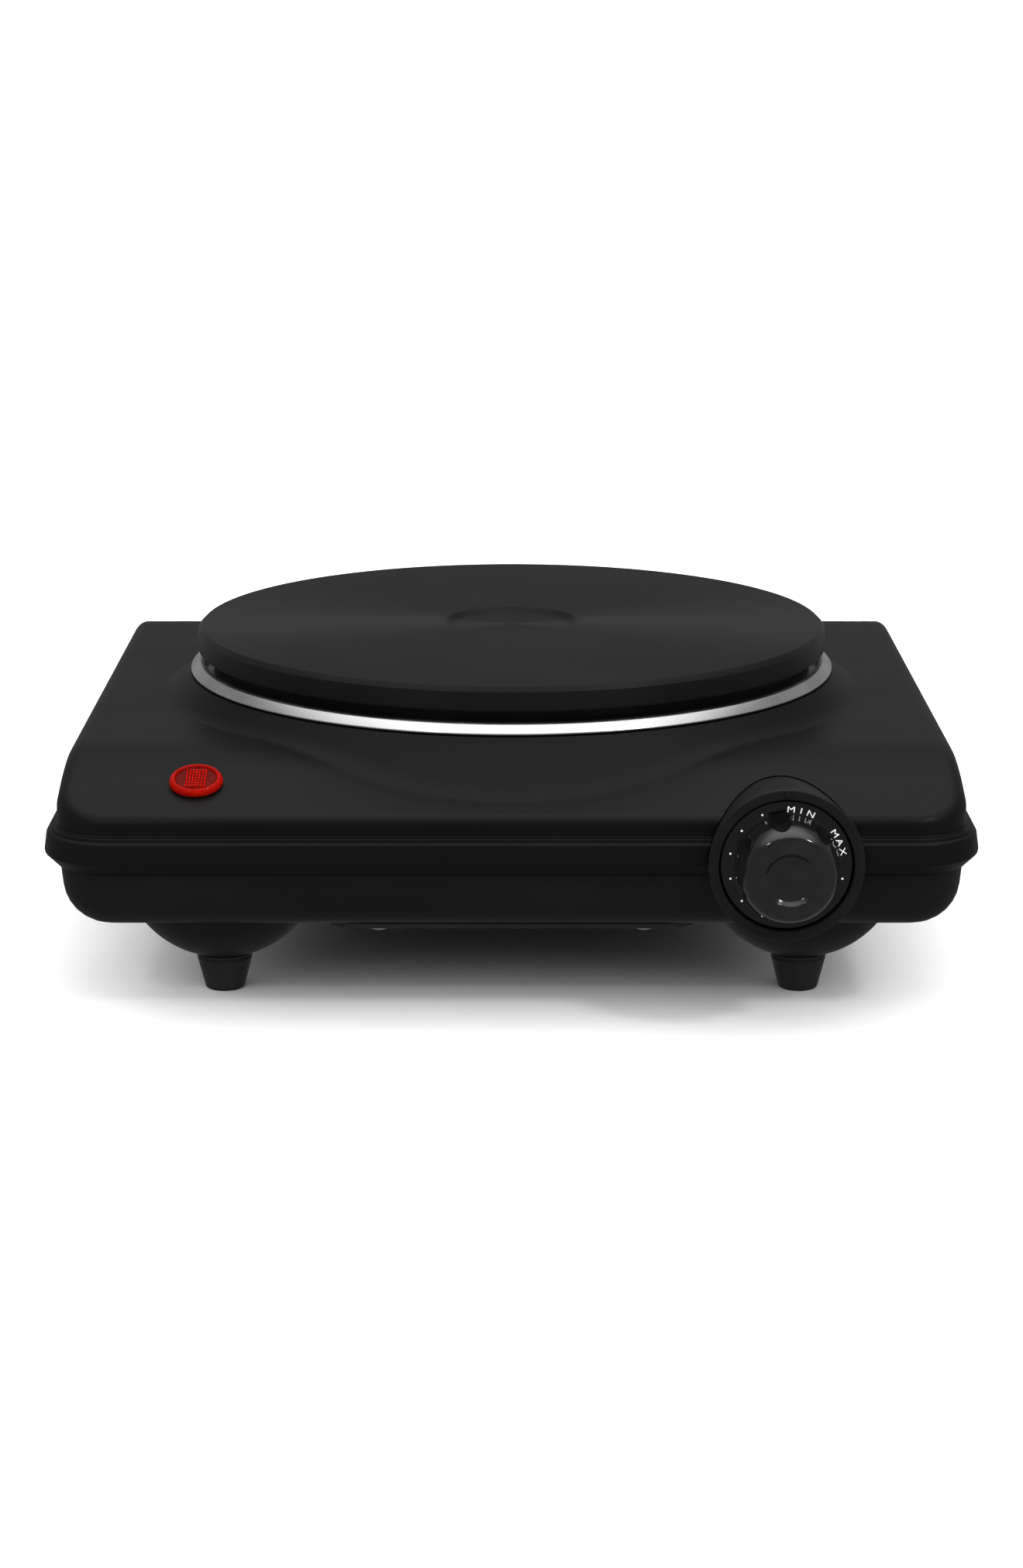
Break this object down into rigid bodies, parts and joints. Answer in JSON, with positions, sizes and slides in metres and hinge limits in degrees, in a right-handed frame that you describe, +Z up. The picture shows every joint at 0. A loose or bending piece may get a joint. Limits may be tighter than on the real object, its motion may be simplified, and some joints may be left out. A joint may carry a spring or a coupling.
{
  "type": "hot plate burner",
  "caption": "Electric hot plate burner: flat round cast plate in a low black housing with a sloped front, rotary heat control, red pilot lens and tapered feet.",
  "frame": {"origin": "on the surface that the feet stand on, under the middle of the whole object's box", "axes": "+Z up, -Y towards the front with the heat control, +X to the right seen from the front"},
  "size_m": [0.2512, 0.262, 0.0878],
  "materials": {
    "housing_black": "satin black enamel",
    "foot_plastic": "fine moulded texture",
    "cast_iron": "matt black coating over turned iron",
    "chrome": "polished",
    "zinc_steel": "zinc plated",
    "aluminised_sheet": "rolled",
    "brass": "plain",
    "bimetal": "rolled",
    "ceramic": "steatite",
    "pressed_mineral": "pressed powder",
    "element_sheath": "oxidised",
    "pilot_red": "clear red, faceted inside",
    "lamp_glass": "clear",
    "knob_gloss": "polished black",
    "sleeve_white": "silicone sleeve",
    "sleeve_black": "silicone sleeve"
  },
  "bodies": {
    "body": {"upper_housing": "housing_black", "lower_housing": "housing_black", "bottom_cover": "foot_plastic", "hot_plate": "cast_iron", "trim_ring": "chrome", "heating_coil": "element_sheath", "insulation_disc": "pressed_mineral", "element_cover": "zinc_steel", "heat_reflector": "aluminised_sheet", "coil_bead_1": "ceramic", "coil_bead_2": "ceramic", "plate_stud": "zinc_steel", "plate_bridge": "zinc_steel", "spring_washer": "zinc_steel", "plate_nut": "zinc_steel", "foot_1": "foot_plastic", "foot_2": "foot_plastic", "foot_3": "foot_plastic", "foot_4": "foot_plastic", "foot_screw_1": "zinc_steel", "foot_screw_2": "zinc_steel", "foot_screw_3": "zinc_steel", "foot_screw_4": "zinc_steel", "housing_screw_1": "zinc_steel", "housing_screw_2": "zinc_steel", "housing_screw_3": "zinc_steel", "housing_screw_4": "zinc_steel", "cover_screw_1": "zinc_steel", "cover_screw_2": "zinc_steel", "cover_screw_3": "zinc_steel", "cover_screw_4": "zinc_steel", "knob_bezel": "housing_black", "thermostat_bracket": "zinc_steel", "bracket_screw_1": "zinc_steel", "bracket_screw_2": "zinc_steel", "thermostat_bush": "brass", "line_terminal": "brass", "load_terminal": "brass", "stack_insulator_1": "ceramic", "stack_insulator_2": "ceramic", "stack_insulator_3": "ceramic", "stack_rivet": "zinc_steel", "pilot_lens": "pilot_red", "pilot_lamp": "lamp_glass", "pilot_clip": "zinc_steel", "terminal_block": "ceramic", "terminal_screw_1": "brass", "terminal_screw_2": "brass", "cord_gland": "housing_black", "thermal_cutout": "aluminised_sheet", "line_wire": "sleeve_black", "load_wire": "sleeve_white", "element_wire": "sleeve_white", "return_wire": "sleeve_black"},
    "knob": {"control_knob": "knob_gloss", "thermostat_spindle": "zinc_steel", "knob_clip": "zinc_steel"},
    "plunger": {"adjusting_plunger": "ceramic"},
    "leaf": {"contact_leaf": "brass"},
    "bimetal": {"bimetal_strip": "bimetal"}
  },
  "joints": [
    {"name": "knob_turn", "type": "hinge", "parent": "body", "child": "knob", "pos_m": [0.0724, -0.11575, 0.047], "axis": [0, 1, 0], "range_deg": [-15, 289]},
    {"name": "plunger_feed", "type": "slide", "parent": "body", "child": "plunger", "axis": [0, 1, 0], "range_m": [-0.000036, 0.000645]},
    {"name": "leaf_push", "type": "hinge", "parent": "body", "child": "leaf", "pos_m": [0.0597, -0.07975, 0.047], "axis": [0, 0, 1], "range_deg": [-0.17, 2.92]},
    {"name": "bimetal_bend", "type": "hinge", "parent": "body", "child": "bimetal", "pos_m": [0.0597, -0.07545, 0.047], "axis": [0, 0, 1], "range_deg": [0, 2.5], "stiffness_Nm_per_rad": 0.05}
  ],
  "couplings": [
    {"joint": "plunger_feed", "follows": "knob_turn", "m_per_rad": 0.00012732},
    {"joint": "leaf_push", "follows": "knob_turn", "ratio": 0.010025}
  ]
}
